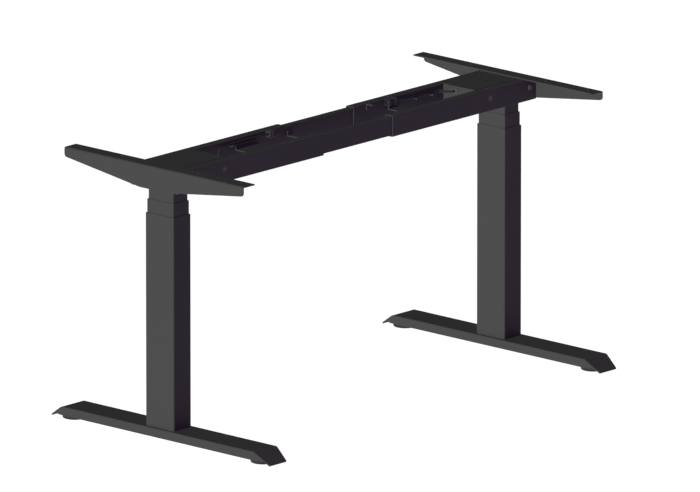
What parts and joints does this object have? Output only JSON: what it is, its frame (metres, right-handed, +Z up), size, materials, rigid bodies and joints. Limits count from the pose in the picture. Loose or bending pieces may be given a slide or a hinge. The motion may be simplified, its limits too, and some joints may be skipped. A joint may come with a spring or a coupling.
{
  "type": "height adjustable standing desk frame",
  "caption": "Height adjustable standing desk frame with lifting columns in stages, T feet, side brackets and a telescoping twin-rail crossbeam.",
  "frame": {"origin": "on the floor, midway between the two columns, at the centre of the bounding box's bottom", "axes": "+X along the crossbeam from the left column to the right column, +Y from the front to the back of the desk, +Z up"},
  "size_m": [1.255, 0.7, 0.668],
  "materials": {
    "charcoal_coat": "fine textured charcoal powder coat",
    "zinc_steel": "zinc plated",
    "screw_steel": "rolled thread steel",
    "black_oxide_steel": "black oxide",
    "motor_coat": "satin black paint",
    "gearbox_aluminium": "as cast",
    "wheel_bronze": "machined",
    "nylon": "natural nylon",
    "black_plastic": "moulded",
    "pad_plastic": "moulded, grey-black",
    "plug_plastic": "moulded",
    "cable_sheath": "extruded PVC"
  },
  "bodies": {
    "base_left": {"foot_left": "charcoal_coat", "foot_bolts_left": "zinc_steel", "tube_base_plate_left": "zinc_steel", "outer_tube_left": "charcoal_coat", "outer_glide_left": "black_plastic", "push_tube_left": "zinc_steel", "lower_nut_left": "nylon"},
    "middle_left": {"middle_tube_left": "charcoal_coat", "middle_glides_left": "black_plastic", "carrier_tube_left": "zinc_steel", "upper_nut_left": "nylon"},
    "top_left": {"inner_tube_left": "charcoal_coat", "inner_glide_left": "black_plastic", "head_channel_left": "charcoal_coat", "head_cover_left": "charcoal_coat", "motor_left": "motor_coat", "gearbox_left": "gearbox_aluminium", "side_bracket_left": "charcoal_coat", "outer_rails_left": "charcoal_coat", "frame_bolts_left": "black_oxide_steel", "cable_grommet_left": "black_plastic", "motor_lead_left": "cable_sheath", "lead_plug_left": "plug_plastic"},
    "hollow_screw_left": {"hollow_screw_left": "screw_steel"},
    "inner_screw_left": {"inner_screw_left": "screw_steel", "worm_wheel_left": "wheel_bronze"},
    "worm_left": {"worm_shaft_left": "screw_steel"},
    "pad_front_left": {"level_pad_front_left": "pad_plastic"},
    "pad_rear_left": {"level_pad_rear_left": "pad_plastic"},
    "base_right": {"foot_right": "charcoal_coat", "foot_bolts_right": "zinc_steel", "tube_base_plate_right": "zinc_steel", "outer_tube_right": "charcoal_coat", "outer_glide_right": "black_plastic", "push_tube_right": "zinc_steel", "lower_nut_right": "nylon"},
    "middle_right": {"middle_tube_right": "charcoal_coat", "middle_glides_right": "black_plastic", "carrier_tube_right": "zinc_steel", "upper_nut_right": "nylon"},
    "top_right": {"inner_tube_right": "charcoal_coat", "inner_glide_right": "black_plastic", "head_channel_right": "charcoal_coat", "head_cover_right": "charcoal_coat", "motor_right": "motor_coat", "gearbox_right": "gearbox_aluminium", "side_bracket_right": "charcoal_coat", "outer_rails_right": "charcoal_coat", "frame_bolts_right": "black_oxide_steel", "cable_grommet_right": "black_plastic", "motor_lead_right": "cable_sheath", "lead_plug_right": "plug_plastic"},
    "hollow_screw_right": {"hollow_screw_right": "screw_steel"},
    "inner_screw_right": {"inner_screw_right": "screw_steel", "worm_wheel_right": "wheel_bronze"},
    "worm_right": {"worm_shaft_right": "screw_steel"},
    "pad_front_right": {"level_pad_front_right": "pad_plastic"},
    "pad_rear_right": {"level_pad_rear_right": "pad_plastic"},
    "rails_centre": {"telescoping_rails": "charcoal_coat"}
  },
  "joints": [
    {"name": "lift", "type": "slide", "parent": "base_left", "child": "top_left", "axis": [0, 0, 1], "range_m": [-0.02, 0.63]},
    {"name": "middle_left_lift", "type": "slide", "parent": "base_left", "child": "middle_left", "axis": [0, 0, 1], "range_m": [-0.01, 0.315]},
    {"name": "rails_slide_left", "type": "slide", "parent": "top_left", "child": "rails_centre", "axis": [1, 0, 0], "range_m": [-0.01, 0.17]},
    {"name": "rails_slide_right", "type": "slide", "parent": "rails_centre", "child": "top_right", "axis": [1, 0, 0], "range_m": [-0.1, 0.17]},
    {"name": "middle_right_lift", "type": "slide", "parent": "top_right", "child": "middle_right", "axis": [0, 0, 1], "range_m": [-0.315, 0.01]},
    {"name": "base_right_lift", "type": "slide", "parent": "top_right", "child": "base_right", "axis": [0, 0, 1], "range_m": [-0.63, 0.02]},
    {"name": "hollow_screw_left_turn", "type": "hinge", "parent": "middle_left", "child": "hollow_screw_left", "pos_m": [-0.5775, 0, 0.32], "axis": [0, 0, 1], "range_deg": [-360, 11340]},
    {"name": "inner_screw_left_turn", "type": "hinge", "parent": "top_left", "child": "inner_screw_left", "pos_m": [-0.5775, 0, 0.4], "axis": [0, 0, 1], "range_deg": [-360, 11340]},
    {"name": "worm_left_turn", "type": "hinge", "parent": "top_left", "child": "worm_left", "pos_m": [-0.5175, -0.0245, 0.64], "axis": [1, 0, 0], "range_deg": [-7200, 226800.03]},
    {"name": "pad_front_left_level", "type": "slide", "parent": "base_left", "child": "pad_front_left", "axis": [0, 0, 1], "range_m": [0, 0.004]},
    {"name": "pad_rear_left_level", "type": "slide", "parent": "base_left", "child": "pad_rear_left", "axis": [0, 0, 1], "range_m": [0, 0.004]},
    {"name": "hollow_screw_right_turn", "type": "hinge", "parent": "middle_right", "child": "hollow_screw_right", "pos_m": [0.5775, 0, 0.32], "axis": [0, 0, 1], "range_deg": [-360, 11340]},
    {"name": "inner_screw_right_turn", "type": "hinge", "parent": "top_right", "child": "inner_screw_right", "pos_m": [0.5775, 0, 0.4], "axis": [0, 0, 1], "range_deg": [-360, 11340]},
    {"name": "worm_right_turn", "type": "hinge", "parent": "top_right", "child": "worm_right", "pos_m": [0.5175, 0.0245, 0.64], "axis": [1, 0, 0], "range_deg": [-7200, 226800.03]},
    {"name": "pad_front_right_level", "type": "slide", "parent": "base_right", "child": "pad_front_right", "axis": [0, 0, 1], "range_m": [0, 0.004]},
    {"name": "pad_rear_right_level", "type": "slide", "parent": "base_right", "child": "pad_rear_right", "axis": [0, 0, 1], "range_m": [0, 0.004]}
  ],
  "couplings": [
    {"joint": "middle_left_lift", "follows": "lift", "ratio": 0.5},
    {"joint": "middle_right_lift", "follows": "lift", "ratio": -0.5},
    {"joint": "base_right_lift", "follows": "lift", "ratio": -1},
    {"joint": "hollow_screw_left_turn", "follows": "lift", "rad_per_m": 314.16},
    {"joint": "inner_screw_left_turn", "follows": "lift", "rad_per_m": 314.16},
    {"joint": "worm_left_turn", "follows": "lift", "rad_per_m": 6283.2},
    {"joint": "hollow_screw_right_turn", "follows": "lift", "rad_per_m": 314.16},
    {"joint": "inner_screw_right_turn", "follows": "lift", "rad_per_m": 314.16},
    {"joint": "worm_right_turn", "follows": "lift", "rad_per_m": 6283.2}
  ]
}
